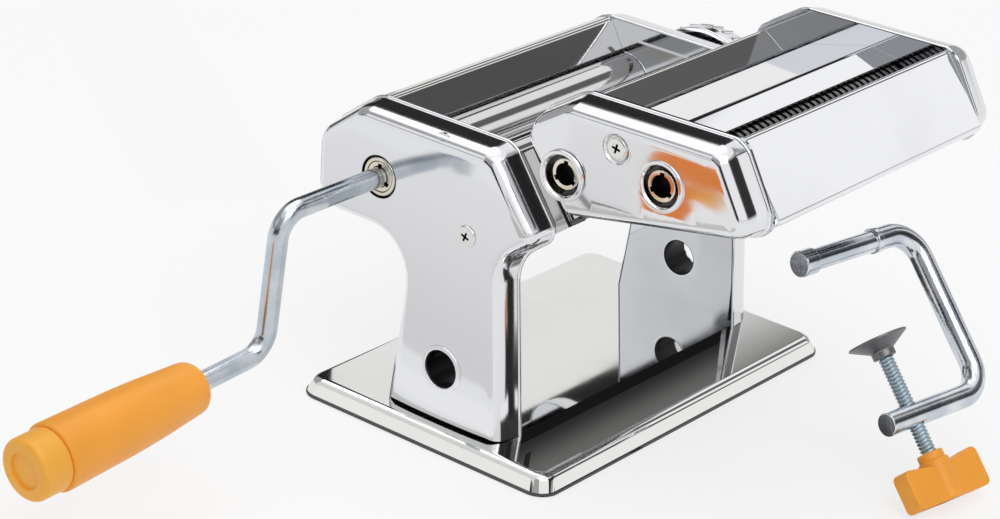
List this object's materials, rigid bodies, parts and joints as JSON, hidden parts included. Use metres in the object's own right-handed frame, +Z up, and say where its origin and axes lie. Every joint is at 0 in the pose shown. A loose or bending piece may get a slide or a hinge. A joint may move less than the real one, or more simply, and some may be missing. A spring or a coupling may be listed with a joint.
{
  "type": "pasta machine",
  "caption": "Hand cranked pasta machine with sheet rollers, a gap dial, a slide-on cutter attachment and a table clamp beside it.",
  "frame": {"origin": "centre of the base underside, on the surface it stands on", "axes": "+X from the crank side to the dial side, -Y towards the cutter attachment, +Z up"},
  "size_m": [0.3879, 0.2667, 0.1682],
  "materials": {
    "chrome": "mirror polished",
    "steel_sheet": "satin",
    "roller_steel": "polished",
    "gear_steel": "machined",
    "zinc_steel": "bright zinc plated",
    "screw_zinc": "blue zinc plated",
    "dark_steel": "dull",
    "orange_plastic": "satin",
    "orange_cap": "satin",
    "nylon": "satin",
    "rubber": "matte"
  },
  "bodies": {
    "housing": {"base_plate": "chrome", "base_screws": "zinc_steel", "rubber_feet": "rubber", "crank_side_cover": "chrome", "dial_side_cover": "chrome", "crank_side_frame": "steel_sheet", "dial_side_frame": "steel_sheet", "clamp_sleeves": "chrome", "tie_rods": "zinc_steel", "frame_posts": "zinc_steel", "frame_screws": "zinc_steel", "cover_screws": "chrome", "frame_bushes": "nylon", "bearing_plate": "steel_sheet", "index_plate": "steel_sheet", "rear_hopper_sheet": "steel_sheet", "front_hopper_sheet": "steel_sheet", "roller_scrapers": "steel_sheet", "end_guides": "steel_sheet", "guide_rails": "steel_sheet"},
    "drive_roller": {"fixed_roller": "roller_steel", "fixed_roller_gear": "gear_steel", "roller_rings": "nylon"},
    "crank": {"crank_rod": "zinc_steel", "grip_retainer": "zinc_steel"},
    "grip": {"crank_grip": "orange_plastic", "grip_cap": "orange_cap"},
    "dial_shaft": {"eccentric_shaft": "gear_steel", "dial_screw": "zinc_steel"},
    "dial": {"dial_knob": "chrome", "dial_spring": "zinc_steel"},
    "roller_carrier": {"roller_bushes": "nylon"},
    "second_roller": {"adjustable_roller": "roller_steel", "adjustable_roller_gear": "gear_steel"},
    "cutter_head": {"cutter_crank_cover": "chrome", "cutter_dial_cover": "chrome", "cutter_crank_frame": "steel_sheet", "cutter_dial_frame": "steel_sheet", "cutter_screws": "zinc_steel", "cutter_tie_rods": "zinc_steel", "cutter_cover_posts": "zinc_steel", "socket_collars": "chrome", "cutter_bushes": "nylon", "cutter_rear_sheet": "steel_sheet", "cutter_centre_sheet": "steel_sheet", "cutter_front_panel": "steel_sheet", "wide_combs": "nylon", "narrow_combs": "nylon"},
    "wide_drive": {"wide_drive_roller": "roller_steel", "wide_drive_gear": "gear_steel"},
    "wide_follower": {"wide_follower_roller": "roller_steel", "wide_follower_gear": "gear_steel"},
    "narrow_drive": {"narrow_drive_roller": "roller_steel", "narrow_drive_gear": "gear_steel"},
    "narrow_follower": {"narrow_follower_roller": "roller_steel", "narrow_follower_gear": "gear_steel"},
    "clamp": {"clamp_rod": "zinc_steel"},
    "clamp_disc": {"pressure_disc": "dark_steel"},
    "clamp_wing": {"clamp_screw": "screw_zinc", "wing_knob": "orange_plastic"}
  },
  "joints": [
    {"name": "roller_turn", "type": "hinge", "parent": "housing", "child": "drive_roller", "pos_m": [0, 0.0372, 0.1059], "axis": [1, 0, 0], "continuous": true},
    {"name": "crank_pull", "type": "slide", "parent": "drive_roller", "child": "crank", "axis": [-1, 0, 0], "range_m": [0, 0.04]},
    {"name": "grip_spin", "type": "hinge", "parent": "crank", "child": "grip", "pos_m": [-0.18793, 0.04322, 0.04217], "axis": [-0.9982, 0.0056, -0.059], "continuous": true},
    {"name": "dial_turn", "type": "hinge", "parent": "housing", "child": "dial_shaft", "pos_m": [0, 0.00744, 0.10508], "axis": [-1, 0, 0], "range_deg": [0, 150]},
    {"name": "dial_pull", "type": "slide", "parent": "dial_shaft", "child": "dial", "axis": [1, 0, 0], "range_m": [0, 0.004], "stiffness_N_per_m": 800, "springref_m": -0.002, "deforming": ["dial_spring"]},
    {"name": "carrier_turn", "type": "hinge", "parent": "dial_shaft", "child": "roller_carrier", "pos_m": [0, 0.00619, 0.10542], "axis": [-1, 0, 0], "range_deg": [-150, 0]},
    {"name": "second_roller_turn", "type": "hinge", "parent": "roller_carrier", "child": "second_roller", "pos_m": [0, 0.00619, 0.10542], "axis": [1, 0, 0], "continuous": true},
    {"name": "attachment_slide", "type": "slide", "parent": "housing", "child": "cutter_head", "axis": [0, 0.6, 0.8], "range_m": [0, 0.04]},
    {"name": "wide_cutter_turn", "type": "hinge", "parent": "cutter_head", "child": "wide_drive", "pos_m": [0, -0.0544, 0.1348], "axis": [1, 0, 0], "continuous": true},
    {"name": "wide_follower_turn", "type": "hinge", "parent": "cutter_head", "child": "wide_follower", "pos_m": [0, -0.074, 0.13879], "axis": [1, 0, 0], "continuous": true},
    {"name": "narrow_cutter_turn", "type": "hinge", "parent": "cutter_head", "child": "narrow_drive", "pos_m": [0, -0.09979, 0.14403], "axis": [1, 0, 0], "continuous": true},
    {"name": "narrow_follower_turn", "type": "hinge", "parent": "cutter_head", "child": "narrow_follower", "pos_m": [0, -0.11939, 0.14802], "axis": [1, 0, 0], "continuous": true},
    {"name": "clamp_lift", "type": "slide", "parent": "housing", "child": "clamp", "axis": [0, -0.8, 0.6], "range_m": [0, 0.1]},
    {"name": "screw_advance", "type": "slide", "parent": "clamp", "child": "clamp_disc", "axis": [0.1147, 0.671, 0.7325], "range_m": [-0.02, 0.011]},
    {"name": "screw_turn", "type": "hinge", "parent": "clamp_disc", "child": "clamp_wing", "pos_m": [0.01933, -0.16071, 0.03196], "axis": [0.1147, 0.671, 0.7325], "continuous": true}
  ],
  "couplings": [
    {"joint": "carrier_turn", "follows": "dial_turn", "ratio": -1},
    {"joint": "second_roller_turn", "follows": "roller_turn", "ratio": -1},
    {"joint": "wide_follower_turn", "follows": "wide_cutter_turn", "ratio": -1},
    {"joint": "narrow_follower_turn", "follows": "narrow_cutter_turn", "ratio": -1},
    {"joint": "screw_turn", "follows": "screw_advance", "rad_per_m": 3927}
  ]
}
